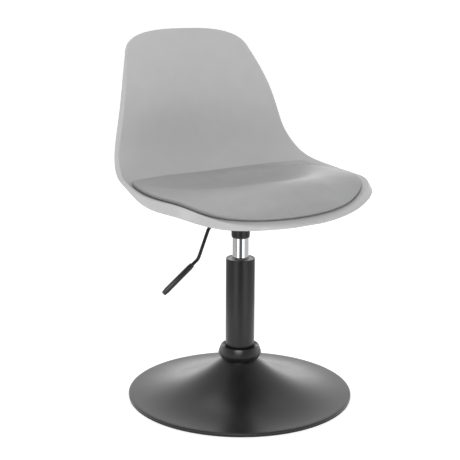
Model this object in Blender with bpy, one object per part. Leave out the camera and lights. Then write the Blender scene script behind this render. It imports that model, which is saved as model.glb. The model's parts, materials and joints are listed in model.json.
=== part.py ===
"""Adjustable swivel stool: a one-piece plastic seat shell with a set-in cushion, on a gas lift and a
trumpet base.

The origin is on the column's axis, where the base stands on the floor. +Z is up, the sitter faces -Y
and the height lever comes out on the -X side. Sizes are in millimetres and become metres as each
mesh is made. The stool is at its lowest height.
"""

import math

import bmesh
import bpy
import numpy as np
from mathutils import Matrix, Vector
from mathutils.bvhtree import BVHTree

MM = 0.001
GAP = 0.3  # left between pieces that touch

# Base
BASE_RADIUS = 200.0
BASE_SHEET = 2.0
RIM_TOP = 7.2
NECK_HEIGHT = 72.0
NECK_RADIUS = 27.8
NECK_TOP = 80.0
FLARE_POWER = 2.3  # how quickly the trumpet flattens towards its rim
RUBBER_HEIGHT = 3.0
PLATE_THICK = 1.5
FOOT_RADIUS = 48.0
FOOT_TOP = 12.9
FOOT_SPIGOT_TOP = 24.0
FOOT_SCREW_CIRCLE = 38.0
FOOT_SCREW_RADIUS = 4.0
ROD_HOLE = 6.0
CLIP_RECESS = 12.0
# Trim ring round the column's foot, as (radius, z)
RING_PROFILE = ((26.3, 81.3), (28.3, 80.6), (28.3, 73.0), (33.0, 68.1), (35.9, 72.3), (38.5, 78.0),
                (37.6, 82.0), (34.4, 90.3), (32.6, 92.0), (31.6, 91.5), (27.6, 88.7), (26.3, 88.4))

# Column and gas lift
COLUMN_RADIUS = 25.7
COLUMN_WALL = 2.0
COLUMN_TOP = 252.0
BUSH_BOTTOM = 170.0
BUSH_TOP = 251.5
CYLINDER_RADIUS = 14.5
CYLINDER_WALL = 2.0
CYLINDER_BOTTOM = 46.0
CYLINDER_TOP = 318.0
TAPER_START = 286.0
TAPER_TOP_RADIUS = 13.7
ROD_RADIUS = 5.0
PISTON_BOTTOM = 284.0
PISTON_TOP = 294.0
VALVE_BOTTOM = 297.0
PIN_RADIUS = 2.5
PIN_TOP = 322.1

# Mechanism under the seat
SOCKET_BOTTOM = 289.2
SOCKET_NECK = 15.9  # radius where the socket passes through the housing
HOUSING_BOTTOM = 309.0
HOUSING_WIDTH = 56.0
HOUSING_WALL = 2.5
PLATE_BOTTOM = 338.0
PLATE_TOP = 341.0
SEAT_PLATE_WIDTH = 152.0
SEAT_PLATE_FLANGE = 7.0
BOLT_OFFSET = 57.0
BOLT_RADIUS = 3.0

# Height lever, in the plane y = 0, as (x, z)
LEVER_PIVOT = (-26.7, 318.5)
LEVER_CORNERS = ((6.0, 325.4), (-15.0, 325.4), (-22.0, 318.5), (-67.1, 318.5), (-90.8, 263.7))
LEVER_BENDS = (4.0, 3.5, 14.0, 16.0)  # inner bend radius at each corner after the first point
GRIP_START = (-103.4, 255.0)
GRIP_END = (-162.3, 213.8)
LEVER_RADIUS = 3.0
GRIP_RADIUS = 5.0

# Seat shell: its inner surface along the middle, as (share, y, z) from the front lip to the top
CENTRE_LINE = ((0.0, -182.5, 349.0), (0.02, -178.9, 348.6), (0.055, -161.2, 357.2), (0.17, -106.6, 384.0),
               (0.33, -35.1, 369.0), (0.5, 76.2, 362.9), (0.67, 143.4, 434.0), (0.83, 150.7, 523.1),
               (1.0, 177.6, 643.5))
# Half width and how far the edge stands up, each at a share of the length from front to top
HALF_WIDTH = ((0.0, 137.8), (0.08, 172.5), (0.16, 203.5), (0.26, 217.1), (0.38, 209.1), (0.5, 199.1),
              (0.65, 183.2), (0.85, 149.0), (1.0, 116.1))
EDGE_RISE = ((0.0, 26.6), (0.05, 15.4), (0.1, 4.6), (0.17, 3.6), (0.25, 18.7), (0.35, 38.6), (0.47, 48.7),
             (0.6, 47.1), (0.8, 31.4), (1.0, 1.2))
# How much the cross-section swells up between the middle and the edge
SIDE_SWELL = ((0.0, -28.2), (0.12, -23.0), (0.25, -4.4), (0.4, -17.2), (0.6, 3.8), (0.8, 0.0), (1.0, 0.0))
# Depth of the turned-down edge
EDGE_DEPTH = ((0.0, 4.6), (0.1, 15.7), (0.2, 17.4), (0.35, 8.1), (0.5, 9.7), (1.0, 5.4))
FRONT_CAP = (82.1, 2.12)  # length over which the front rounds in, and its roundness
TOP_CAP = (39.8, 2.85)
DISH_SEAT = 1.72  # how the cross-section curves: 2 is a parabola
DISH_BACK = 1.75
SHELL_WALL = 5.0
EDGE_WALL = 5.0

# Cushion
CUSHION_MARGIN = 12.2  # shell left showing beside the cushion
CUSHION_FRONT_MARGIN = 14.7
CUSHION_END = 0.539  # share of the length where the cushion ends, up the back's curve
CUSHION_REAR_CAP = (70.3, 2.2)
CUSHION_HEIGHT = 16.0
CUSHION_ROLL = 42.0  # distance over which the edge rounds up to full height
BED_GAP = 3.0  # between the shell and what lies on it, because both are faceted
POCKET_INSET = 20.0  # from the cushion's edge to the pocket under it that takes the board
BOARD_INSET = 29.0
BOARD_BED = 3.2
BOARD_THICK = 2.6
BOARD_CLEARANCE = 2.8
# How far inside the outline each ring of faces lies
SHELL_RINGS = (0.0, EDGE_WALL, EDGE_WALL + 3.0, 17.0, 27.0, 42.0, 62.0, 84.0)
CUSHION_RINGS = (0.0, 7.0, 16.0, POCKET_INSET, 31.0, 44.0, 62.0, 84.0)
BOARD_RINGS = (0.0, 9.0, 20.0, 38.0, 58.0)

SURFACE_STEP = 0.5  # for finding normals of the seat surface

# ---------------------------------------------------------------- scene, bodies and materials


def clear_scene():
    for old in list(bpy.data.objects):
        bpy.data.objects.remove(old, do_unlink=True)


def make_material(name, colour, roughness, metallic=0.0):
    material = bpy.data.materials.new(name)
    material.use_nodes = True
    shader = material.node_tree.nodes["Principled BSDF"]
    shader.inputs["Base Color"].default_value = (*colour, 1.0)
    shader.inputs["Roughness"].default_value = roughness
    shader.inputs["Metallic"].default_value = metallic
    material.diffuse_color = (*colour, 1.0)
    return material


def make_axis(name, location, parent=None):
    """An empty on a joint's axis, which carries the pieces of one moving body."""
    axis = bpy.data.objects.new(name, None)
    bpy.context.scene.collection.objects.link(axis)
    axis.location = [c * MM for c in location]
    if parent:
        axis.parent = parent
        axis.matrix_parent_inverse = world_of(parent).inverted()
    return axis


def world_of(axis):
    bpy.context.view_layer.update()
    return axis.matrix_world.copy()


def place(name, data, material, axis=None):
    """Links an object whose data is in world coordinates, and hangs it on its body's axis."""
    piece = bpy.data.objects.new(name, data)
    bpy.context.scene.collection.objects.link(piece)
    piece.data.materials.append(material)
    if axis:
        piece.parent = axis
        piece.matrix_parent_inverse = world_of(axis).inverted()
    return piece


def mesh_from(name, points, faces, sharp_angle=35.0):
    """A mesh in metres from points in millimetres, with its faces turned outwards."""
    mesh = bpy.data.meshes.new(name)
    mesh.from_pydata([tuple(float(c) * MM for c in p) for p in points], [], faces)
    work = bmesh.new()
    work.from_mesh(mesh)
    bmesh.ops.recalc_face_normals(work, faces=work.faces)
    work.to_mesh(mesh)
    work.free()
    mesh.shade_smooth()
    mesh.set_sharp_from_angle(angle=math.radians(sharp_angle))
    return mesh


# ---------------------------------------------------------------- basic shapes


def turned_mesh(name, profile, segments, hexagonal=()):
    """A closed profile of (radius, z) turned round Z. Rings listed in hexagonal are six-sided."""
    points, rings, faces = [], [], []
    for index, (radius, z) in enumerate(profile):
        if radius == 0:
            rings.append([len(points)] * segments)
            points.append((0.0, 0.0, z))
            continue
        ring = []
        for step in range(segments):
            angle = 2 * math.pi * step / segments
            reach = radius
            if index in hexagonal:
                reach *= math.cos(math.pi / 6) / math.cos(angle % (math.pi / 3) - math.pi / 6)
            ring.append(len(points))
            points.append((reach * math.cos(angle), reach * math.sin(angle), z))
        rings.append(ring)
    for first, second in zip(rings, rings[1:] + rings[:1]):
        for step in range(segments):
            after = (step + 1) % segments
            corners = [first[step], first[after], second[after], second[step]]
            unique = list(dict.fromkeys(corners))
            if len(unique) > 2:
                faces.append(unique)
    return mesh_from(name, points, faces)


def turned(name, profile, segments, material, axis=None, at=(0.0, 0.0), hexagonal=()):
    mesh = turned_mesh(name, profile, segments, hexagonal)
    mesh.transform(Matrix.Translation((at[0] * MM, at[1] * MM, 0)))
    return place(name, mesh, material, axis)


def ring(name, inner, outer, bottom, top, segments, material, axis=None, at=(0.0, 0.0)):
    """A plain ring or sleeve."""
    profile = ((outer, bottom), (outer, top), (inner, top), (inner, bottom))
    return turned(name, profile, segments, material, axis, at)


def rounded_square(width, corner, steps=4):
    """Points round a square with rounded corners."""
    reach = width / 2 - corner
    outline = []
    for quarter in range(4):
        angle = quarter * math.pi / 2
        centre = Matrix.Rotation(angle, 2) @ Vector((reach, reach))
        for step in range(steps + 1):
            turn = angle + step / steps * math.pi / 2
            outline.append((centre.x + corner * math.cos(turn), centre.y + corner * math.sin(turn)))
    return outline


def prism_mesh(name, outline, bottom, top):
    count = len(outline)
    points = [(x, y, bottom) for x, y in outline] + [(x, y, top) for x, y in outline]
    faces = [tuple(range(count)), tuple(range(count, 2 * count))]
    for index in range(count):
        after = (index + 1) % count
        faces.append((index, after, count + after, count + index))
    return mesh_from(name, points, faces)


def cut(piece, cutter_mesh):
    """Cuts a hole in a piece with a hidden cutter."""
    cutter = bpy.data.objects.new(cutter_mesh.name, cutter_mesh)
    bpy.context.scene.collection.objects.link(cutter)
    cutter.hide_render = True
    cutter.display_type = "WIRE"
    modifier = piece.modifiers.new(cutter_mesh.name, "BOOLEAN")
    modifier.operation = "DIFFERENCE"
    modifier.object = cutter


def drill(piece, name, radius, bottom, top, at=(0.0, 0.0), segments=16):
    mesh = turned_mesh(name, ((0, bottom), (radius, bottom), (radius, top), (0, top)), segments)
    mesh.transform(Matrix.Translation((at[0] * MM, at[1] * MM, 0)))
    cut(piece, mesh)


def square_places(offset):
    return [(sx * offset, sy * offset) for sx in (-1, 1) for sy in (-1, 1)]


def bent_path(corners, bends, arc_steps=5):
    """Points along straight runs joined by round bends of the given radii."""
    path = [Vector(corners[0])]
    for before, corner, after, radius in zip(corners, corners[1:], corners[2:], bends):
        back = (Vector(before) - Vector(corner)).normalized()
        on = (Vector(after) - Vector(corner)).normalized()
        half = back.angle(on) / 2
        setback = radius / math.tan(half)
        centre = Vector(corner) + (back + on).normalized() * radius / math.sin(half)
        start = Vector(corner) + back * setback - centre
        end = Vector(corner) + on * setback - centre
        for step in range(arc_steps + 1):
            path.append(centre + start.slerp(end, step / arc_steps) * radius)
    path.append(Vector(corners[-1]))
    return path


# ---------------------------------------------------------------- the seat's surface


def spline(table, at):
    """A natural cubic spline through the table's (position, values) rows, read at the given positions."""
    knots = np.array([row[0] for row in table], float)
    values = np.array([row[1:] for row in table], float)
    count, gap = len(knots), np.diff(knots)
    matrix, right = np.eye(count), np.zeros_like(values)
    for i in range(1, count - 1):
        matrix[i, i - 1:i + 2] = gap[i - 1], 2 * (gap[i - 1] + gap[i]), gap[i]
        slope_after = (values[i + 1] - values[i]) / gap[i]
        slope_before = (values[i] - values[i - 1]) / gap[i - 1]
        right[i] = 6 * (slope_after - slope_before)
    bend = np.linalg.solve(matrix, right)
    at = np.asarray(at, float)
    k = np.clip(np.searchsorted(knots, at) - 1, 0, count - 2)
    width = gap[k][..., None]
    before, after = (knots[k + 1] - at)[..., None], (at - knots[k])[..., None]
    cubic = (bend[k] * before**3 + bend[k + 1] * after**3) / (6 * width)
    linear = (values[k] / width - bend[k] * width / 6) * before
    linear += (values[k + 1] / width - bend[k + 1] * width / 6) * after
    result = cubic + linear
    return result[..., 0] if result.shape[-1] == 1 else result


def centre_line_samples(count=400):
    """Evenly numbered samples of the centre line: their run from the front, places and directions."""
    line = spline(CENTRE_LINE, np.linspace(0, 1, count))
    run = np.concatenate([[0], np.cumsum(np.linalg.norm(np.diff(line, axis=0), axis=1))])
    direction = np.gradient(line, axis=0)
    direction /= np.linalg.norm(direction, axis=1, keepdims=True)
    return run, line, direction


RUN, LINE, DIRECTION = centre_line_samples()
LENGTH = RUN[-1]


def rounded_end(distance, length, power):
    """1 away from an end, falling to 0 at it along a superellipse."""
    inside = np.clip(1 - distance / length, 0, 1)
    return (1 - inside**power) ** (1 / power)


def plain_half_width(along):
    return spline(HALF_WIDTH, along / LENGTH)


def shell_half_width(along):
    ends = rounded_end(along, *FRONT_CAP) * rounded_end(LENGTH - along, *TOP_CAP)
    return plain_half_width(along) * ends


def cushion_half_width(inset):
    """The cushion's half width as a function, for an outline set in by inset."""
    margin, start = CUSHION_MARGIN + inset, CUSHION_FRONT_MARGIN + inset
    end = CUSHION_END * LENGTH - inset

    def half_width(along):
        front = rounded_end(along - start, FRONT_CAP[0] - start, FRONT_CAP[1])
        rear = rounded_end(end - along, CUSHION_REAR_CAP[0], CUSHION_REAR_CAP[1])
        return (plain_half_width(along) - margin) * front * rear

    return half_width, start, end


def seat_surface(along, across):
    """Points of the shell's inner surface, at a run from the front and a distance from the middle."""
    share = along / LENGTH
    line = np.stack([np.interp(along, RUN, LINE[:, i]) for i in (0, 1)], -1)
    direction = np.stack([np.interp(along, RUN, DIRECTION[:, i]) for i in (0, 1)], -1)
    blend = np.clip((share - 0.35) / 0.35, 0, 1)
    blend = blend * blend * (3 - 2 * blend)
    power = DISH_SEAT + (DISH_BACK - DISH_SEAT) * blend
    reach = np.abs(across / plain_half_width(along))
    rise = spline(EDGE_RISE, share) * reach**power
    rise += spline(SIDE_SWELL, share) * (reach**power - reach**8)
    y = line[..., 0] - direction[..., 1] * rise
    z = line[..., 1] + direction[..., 0] * rise
    return np.stack([across + 0 * y, y, z], -1)


def seat_normal(along, across):
    """Unit normals of the inner surface, towards the sitter."""
    step = SURFACE_STEP
    inside = np.clip(along, step, LENGTH - step)
    on = seat_surface(inside + step, across) - seat_surface(inside - step, across)
    side = seat_surface(inside, across + step) - seat_surface(inside, across - step)
    normal = np.cross(side, on)
    return normal / np.linalg.norm(normal, axis=-1, keepdims=True)


def closed_outline(half_width, start, end, half_count):
    """Evenly spaced (along, across) points, from the front's middle round by +X and back by -X."""
    turn = np.linspace(0, math.pi, 600)
    along = start + (end - start) * (1 - np.cos(turn)) / 2
    edge = np.stack([along, half_width(along)], -1)
    run = np.concatenate([[0], np.cumsum(np.linalg.norm(np.diff(edge, axis=0), axis=1))])
    even = np.linspace(0, run[-1], half_count + 1)
    right = np.stack([np.interp(even, run, edge[:, i]) for i in (0, 1)], -1)
    right[[0, -1], 1] = 0
    return np.concatenate([right, right[-2:0:-1] * (1, -1)])


def ring_grid(outline, insets, across_count, block=0.5):
    """Rings that follow an outline, round a block of quads. Returns points, inset of each, and faces."""
    half = len(outline) // 2
    along_count = half - across_count
    middle = across_count // 2
    front, back = outline[0, 0], outline[half, 0]
    low = front + (back - front) * (1 - block) * 0.45
    high = back - (back - front) * (1 - block) * 0.35
    right = outline[:half + 1]
    block_points = {}
    for j in range(along_count + 1):
        along = low + (high - low) * j / along_count
        reach = block * np.interp(along, right[:, 0], right[:, 1])
        for i in range(-middle, middle + 1):
            block_points[i, j] = (along, reach * i / middle)
    border = [(i, 0) for i in range(middle)]
    border += [(middle, j) for j in range(along_count)]
    border += [(i, along_count) for i in range(middle, -middle, -1)]
    border += [(-middle, j) for j in range(along_count, 0, -1)]
    border += [(i, 0) for i in range(-middle, 0)]
    core = np.array([block_points[key] for key in border])
    reach = np.linalg.norm(core - outline, axis=1)
    points, depth, faces, count = [], [], [], len(outline)
    for inset in insets:
        points.extend(outline + (core - outline) * (inset / reach)[:, None])
        depth.extend([inset] * count)
    number = {}
    for index, key in enumerate(border):
        number[key] = len(points)
        points.append(core[index])
        depth.append(reach[index])
    for key in block_points:
        if key not in number:
            number[key] = len(points)
            points.append(block_points[key])
            depth.append(reach.max())
    for level in range(len(insets)):
        for index in range(count):
            after = (index + 1) % count
            outer, inner = level * count, (level + 1) * count
            faces.append((outer + index, outer + after, inner + after, inner + index))
    for j in range(along_count):
        for i in range(-middle, middle):
            corners = ((i, j), (i + 1, j), (i + 1, j + 1), (i, j + 1))
            faces.append(tuple(number[corner] for corner in corners))
    return np.array(points), np.array(depth), faces, count


def two_sided(name, upper, lower, faces, rim_count):
    """A closed skin from two layers of points with the same faces, joined round the first ring."""
    offset = len(upper)
    whole = list(faces) + [tuple(offset + index for index in reversed(face)) for face in faces]
    for index in range(rim_count):
        after = (index + 1) % rim_count
        whole.append((index, offset + index, offset + after, after))
    return mesh_from(name, np.concatenate([upper, lower]), whole, sharp_angle=50.0)


# ---------------------------------------------------------------- the pieces


def build_base(look):
    black, steel, rubber = look["black_steel"], look["zinc_steel"], look["rubber"]

    def flare(radius, drop=0.0):
        share = (BASE_RADIUS - radius) / (BASE_RADIUS - NECK_RADIUS)
        return RIM_TOP - drop + (NECK_HEIGHT - RIM_TOP) * share**FLARE_POWER

    radii = [NECK_RADIUS + (BASE_RADIUS - 1.0 - NECK_RADIUS) * (i / 10) ** 1.25 for i in range(11)]
    outer = [(NECK_RADIUS, NECK_TOP)] + [(r, flare(r)) for r in radii]
    lip_bottom, lip_inner = RUBBER_HEIGHT + GAP, BASE_RADIUS - BASE_SHEET
    lip = [(BASE_RADIUS, RIM_TOP - 1.0), (BASE_RADIUS, lip_bottom), (lip_inner, lip_bottom),
           (lip_inner, RIM_TOP - BASE_SHEET)]
    inner = [(r, flare(r, drop=BASE_SHEET * 1.25)) for r in radii[-2:0:-1]]
    bore = COLUMN_RADIUS + GAP
    inner += [(bore, flare(NECK_RADIUS, drop=BASE_SHEET * 2)), (bore, NECK_TOP)]
    turned("base_trumpet", outer + lip + inner, 48, black)

    plate_bottom = RUBBER_HEIGHT + GAP
    plate_top = plate_bottom + PLATE_THICK
    plate_radius = BASE_RADIUS - BASE_SHEET - GAP - 0.5
    plate = ring("base_bottom_plate", CLIP_RECESS, plate_radius, plate_bottom, plate_top, 48, black)
    ring("base_rubber_ring", BASE_RADIUS - 15, BASE_RADIUS - 0.5, 0.0, RUBBER_HEIGHT, 48, rubber)

    foot_bottom = plate_top + GAP
    tube_inner = COLUMN_RADIUS - COLUMN_WALL
    fit = tube_inner - GAP
    foot = turned("column_foot", (
        (CLIP_RECESS, foot_bottom), (FOOT_RADIUS, foot_bottom), (FOOT_RADIUS, FOOT_TOP),
        (fit, FOOT_TOP), (fit, FOOT_SPIGOT_TOP), (ROD_HOLE, FOOT_SPIGOT_TOP), (ROD_HOLE, FOOT_TOP),
        (CLIP_RECESS, FOOT_TOP)), 32, steel)
    for number, (x, y) in enumerate(square_places(FOOT_SCREW_CIRCLE * math.sqrt(0.5)), 1):
        drill(plate, f"plate_hole_{number}", FOOT_SCREW_RADIUS + GAP, 0, 10, (x, y))
        drill(foot, f"foot_hole_{number}", FOOT_SCREW_RADIUS + GAP, 0, 20, (x, y))
        head = plate_bottom - GAP
        profile = ((0, head - 2.0), (6.0, head - 2.0), (7.0, head - 1.2), (7.0, head),
                   (FOOT_SCREW_RADIUS, head), (FOOT_SCREW_RADIUS, FOOT_TOP - 0.5), (0, FOOT_TOP - 0.5))
        turned(f"foot_screw_{number}", profile, 16, steel, at=(x, y))

    turned("column_tube", (
        (COLUMN_RADIUS, FOOT_TOP + GAP), (COLUMN_RADIUS, COLUMN_TOP - 0.8),
        (COLUMN_RADIUS - 0.8, COLUMN_TOP), (tube_inner, COLUMN_TOP), (tube_inner, FOOT_TOP + GAP)), 32, black)
    turned("column_guide_bush", (
        (CYLINDER_RADIUS + GAP, BUSH_BOTTOM), (fit, BUSH_BOTTOM), (fit, BUSH_TOP),
        (CYLINDER_RADIUS + 0.8, BUSH_TOP), (CYLINDER_RADIUS + GAP, BUSH_TOP - 0.5)), 32,
        look["black_plastic"])
    turned("base_trim_ring", RING_PROFILE, 32, look["black_plastic"])
    ring("thrust_washer_lower", ROD_HOLE, 14, FOOT_SPIGOT_TOP + GAP, FOOT_SPIGOT_TOP + 2, 20, steel)
    ring("thrust_ball_cage", ROD_HOLE, 13.5, FOOT_SPIGOT_TOP + 2.3, FOOT_SPIGOT_TOP + 5.3, 20, look["brass"])


def build_spindle(look, axis):
    steel, rubber = look["zinc_steel"], look["rubber"]
    bearing_top = FOOT_SPIGOT_TOP + 7.6
    ring("thrust_washer_upper", ROD_RADIUS + GAP, 14, bearing_top - 2, bearing_top, 20, steel, axis)
    ring("bump_stop", ROD_RADIUS + GAP, 13, bearing_top + GAP, CYLINDER_BOTTOM - 2, 20, rubber, axis)
    neck = ROD_RADIUS - 1.0
    shoulder, tip = PISTON_BOTTOM - GAP, PISTON_TOP + 1
    turned("piston_rod", (
        (0, 7.6), (ROD_RADIUS, 7.6), (ROD_RADIUS, 9.0), (neck, 9.0), (neck, 10.8), (ROD_RADIUS, 10.8),
        (ROD_RADIUS, shoulder), (neck, shoulder), (neck, tip), (0, tip)), 20, steel, axis)
    ring("rod_clip", neck + GAP, 9.5, 9.2, 10.6, 20, steel, axis)
    bore = CYLINDER_RADIUS - CYLINDER_WALL
    groove, land = bore - 2.0, bore - 0.4
    low, high = PISTON_BOTTOM + 3, PISTON_BOTTOM + 7
    turned("piston", (
        (neck + GAP, PISTON_BOTTOM), (land, PISTON_BOTTOM), (land, low), (groove, low), (groove, high),
        (land, high), (land, PISTON_TOP), (neck + GAP, PISTON_TOP)), 20, look["brass"], axis)
    ring("piston_seal", groove + GAP, bore - 0.15, low + GAP, high - GAP, 20, rubber, axis)


def build_lift(look, axis):
    """The part of the gas lift that rises with the seat."""
    bore = CYLINDER_RADIUS - CYLINDER_WALL
    turned("gas_cylinder", (
        (CYLINDER_RADIUS - 1, CYLINDER_BOTTOM), (CYLINDER_RADIUS, CYLINDER_BOTTOM + 1),
        (CYLINDER_RADIUS, TAPER_START), (TAPER_TOP_RADIUS, CYLINDER_TOP), (bore, CYLINDER_TOP),
        (bore, CYLINDER_BOTTOM)), 32, look["chrome"], axis)
    fit = bore - GAP
    rod_fit = ROD_RADIUS + GAP
    ring("rod_guide", rod_fit, fit, CYLINDER_BOTTOM + 0.5, CYLINDER_BOTTOM + 13, 20, look["nylon"], axis)
    ring("rod_seal", rod_fit, fit, CYLINDER_BOTTOM + 13.3, CYLINDER_BOTTOM + 19, 20, look["rubber"], axis)
    ring("valve_body", PIN_RADIUS + GAP, fit, VALVE_BOTTOM, CYLINDER_TOP - 0.5, 20, look["brass"], axis)


def build_valve_pin(look, axis):
    bottom = VALVE_BOTTOM + 4
    turned("valve_pin", (
        (0, bottom), (PIN_RADIUS, bottom), (PIN_RADIUS, PIN_TOP - 0.8), (PIN_RADIUS - 0.8, PIN_TOP),
        (0, PIN_TOP)), 16, look["zinc_steel"], axis)


def build_mechanism(look, axis):
    black, steel = look["black_steel"], look["zinc_steel"]
    taper = (CYLINDER_RADIUS - TAPER_TOP_RADIUS) / (CYLINDER_TOP - TAPER_START)

    def bore_at(z):
        return CYLINDER_RADIUS - taper * max(0.0, z - TAPER_START) + GAP

    socket_top = CYLINDER_TOP - 1
    turned("taper_socket", (
        (bore_at(SOCKET_BOTTOM), SOCKET_BOTTOM + 0.5), (15.1, SOCKET_BOTTOM), (15.8, SOCKET_BOTTOM + 0.8),
        (16.3, SOCKET_BOTTOM + 3.5), (16.4, 298.0), (17.0, 303.5), (18.2, HOUSING_BOTTOM - GAP),
        (SOCKET_NECK, HOUSING_BOTTOM - GAP), (SOCKET_NECK, socket_top), (bore_at(socket_top), socket_top)),
        32, black, axis)

    housing_top = PLATE_BOTTOM - GAP
    housing = place(
        "mechanism_housing",
        prism_mesh("mechanism_housing", rounded_square(HOUSING_WIDTH, 7), HOUSING_BOTTOM, housing_top),
        black, axis)
    inside = rounded_square(HOUSING_WIDTH - 2 * HOUSING_WALL, 5)
    cut(housing, prism_mesh("housing_inside", inside, HOUSING_BOTTOM + HOUSING_WALL, housing_top + 5))
    drill(housing, "housing_socket_hole", SOCKET_NECK + GAP, HOUSING_BOTTOM - 2, HOUSING_BOTTOM + 5,
          segments=32)
    side_hole = turned_mesh("housing_lever_hole", ((0, -5), (5.6, -5), (5.6, 5), (0, 5)), 16)
    pivot = Matrix.Translation((LEVER_PIVOT[0] * MM, 0, LEVER_PIVOT[1] * MM))
    to_wall = pivot @ Matrix.Rotation(math.pi / 2, 4, "Y")
    side_hole.transform(to_wall)
    cut(housing, side_hole)

    bush_profile = ((3.2, -0.6), (3.2, 0.6), (3.9, 3.0), (7.4, 3.0), (7.4, 1.6), (5.3, 1.6), (5.3, -3.0),
                    (3.9, -3.0))
    bush = turned_mesh("lever_bush", bush_profile, 16)
    bush.transform(to_wall @ Matrix.Rotation(math.pi, 4, "X"))
    place("lever_bush", bush, look["nylon"], axis)

    outside, flange_bottom = rounded_square(SEAT_PLATE_WIDTH, 16), PLATE_BOTTOM - SEAT_PLATE_FLANGE
    plate = place("seat_plate", prism_mesh("seat_plate", outside, flange_bottom, PLATE_TOP), black, axis)
    inside = rounded_square(SEAT_PLATE_WIDTH - 6, 13)
    cut(plate, prism_mesh("plate_inside", inside, flange_bottom - 5, PLATE_BOTTOM))
    for number, (x, y) in enumerate(square_places(BOLT_OFFSET), 1):
        drill(plate, f"seat_plate_hole_{number}", BOLT_RADIUS + GAP, PLATE_BOTTOM - 5, PLATE_TOP + 5, (x, y))
        top = PLATE_BOTTOM - GAP
        ring(f"seat_washer_{number}", BOLT_RADIUS + GAP, 7.0, top - 1.5, top, 16, steel, axis, (x, y))
        head = top - 1.5 - GAP
        profile = ((0, head - 4), (5.2, head - 4), (5.7, head - 3.6), (5.7, head), (BOLT_RADIUS, head),
                   (BOLT_RADIUS, PLATE_TOP + 12), (0, PLATE_TOP + 12))
        turned(f"seat_bolt_{number}", profile, 12, steel, axis, (x, y), hexagonal=(1, 2, 3))


def build_lever(look, axis):
    start, end = Vector(GRIP_START), Vector(GRIP_END)
    along_grip = (end - start).normalized()
    grip_length = (end - start).length
    corners = LEVER_CORNERS + (tuple(end - along_grip * 6),)
    path = bent_path([(x, 0, z) for x, z in corners], LEVER_BENDS)
    curve = bpy.data.curves.new("lever_rod", "CURVE")
    curve.dimensions = "3D"
    curve.bevel_depth = LEVER_RADIUS * MM
    curve.bevel_resolution = 2
    curve.use_fill_caps = True
    run = curve.splines.new("POLY")
    run.points.add(len(path) - 1)
    for point, place_on in zip(run.points, path):
        point.co = (*(place_on * MM), 1)
    place("lever_rod", curve, look["black_steel"], axis)
    bore = LEVER_RADIUS + GAP
    bottom = grip_length - 5
    profile = ((bore, 0), (GRIP_RADIUS - 0.6, 0), (GRIP_RADIUS, 0.8), (GRIP_RADIUS, grip_length - 2.0),
               (GRIP_RADIUS - 1.2, grip_length), (0, grip_length), (0, bottom), (bore, bottom))
    mesh = turned_mesh("lever_grip", profile, 20)
    direction = Vector((along_grip.x, 0, along_grip.y))
    turn = Vector((0, 0, 1)).rotation_difference(direction).to_matrix().to_4x4()
    mesh.transform(Matrix.Translation((start.x * MM, 0, start.y * MM)) @ turn)
    place("lever_grip", mesh, look["black_plastic"], axis)


def build_shell(look, axis):
    outline = closed_outline(shell_half_width, 0.0, LENGTH, 26)
    grid, inset, faces, rim = ring_grid(outline, SHELL_RINGS, 8)
    along, across = grid.T
    inner = seat_surface(along, across)
    edge_depth = spline(EDGE_DEPTH, along / LENGTH)
    depth = np.where(inset <= EDGE_WALL, edge_depth, SHELL_WALL)
    outer = inner - seat_normal(along, across) * depth[:, None]
    mesh = two_sided("seat_shell", inner, outer, faces, rim)
    return place("seat_shell", mesh, look["shell_plastic"], axis)


def padded_layer(name, inset_all, insets, lower_at, upper_at, material, axis, half_count=20):
    """A closed layer over the shell's inner surface, inside the cushion's outline."""
    half_width, start, end = cushion_half_width(inset_all)
    outline = closed_outline(half_width, start, end, half_count)
    grid, inset, faces, rim = ring_grid(outline, insets, 8)
    along, across = grid.T
    base, normal = seat_surface(along, across), seat_normal(along, across)
    upper = base + normal * upper_at(inset)[:, None]
    lower = base + normal * lower_at(inset)[:, None]
    return place(name, two_sided(name, upper, lower, faces, rim), material, axis)


def build_cushion(look, axis):
    edge = BED_GAP + 2.0

    def board_top(inset):
        return np.full_like(inset, BOARD_BED + BOARD_THICK)

    def board_bottom(inset):
        return np.full_like(inset, BOARD_BED)

    def cushion_top(inset):
        swell = rounded_end(np.minimum(inset, CUSHION_ROLL), CUSHION_ROLL, 2.2)
        return edge + (CUSHION_HEIGHT - edge) * swell

    def cushion_bottom(inset):
        under_board = BOARD_BED + BOARD_THICK + BOARD_CLEARANCE
        return np.where(inset < POCKET_INSET - 1, BED_GAP, under_board)

    padded_layer("cushion_board", BOARD_INSET, BOARD_RINGS, board_bottom, board_top, look["board"], axis)
    padded_layer("seat_cushion", 0.0, CUSHION_RINGS, cushion_bottom, cushion_top, look["leather"], axis)


def build_shock_mounts(look, axis, shell):
    """Bonded pads between the shell and the plate. Each pad's top follows the shell's underside."""
    under = BVHTree.FromObject(shell, bpy.context.evaluated_depsgraph_get())
    for number, (x, y) in enumerate(square_places(BOLT_OFFSET), 1):
        bottom, bore = PLATE_TOP + GAP, BOLT_RADIUS + GAP
        profile = ((bore, bottom), (14.0, bottom), (17.0, bottom + 4), (17.0, bottom + 20),
                   (9.0, bottom + 20), (0, bottom + 20), (0, bottom + 12.5), (bore, bottom + 12.5))
        mesh = turned_mesh(f"shock_mount_{number}", profile, 16)
        mesh.transform(Matrix.Translation((x * MM, y * MM, 0)))
        for vertex in mesh.vertices:
            if vertex.co.z > (bottom + 19) * MM:
                hit, _, _, _ = under.ray_cast(Vector((vertex.co.x, vertex.co.y, 0.3)), Vector((0, 0, 1)))
                vertex.co.z = hit.z - 2 * GAP * MM
        place(f"shock_mount_{number}", mesh, look["black_plastic"], axis)


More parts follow.
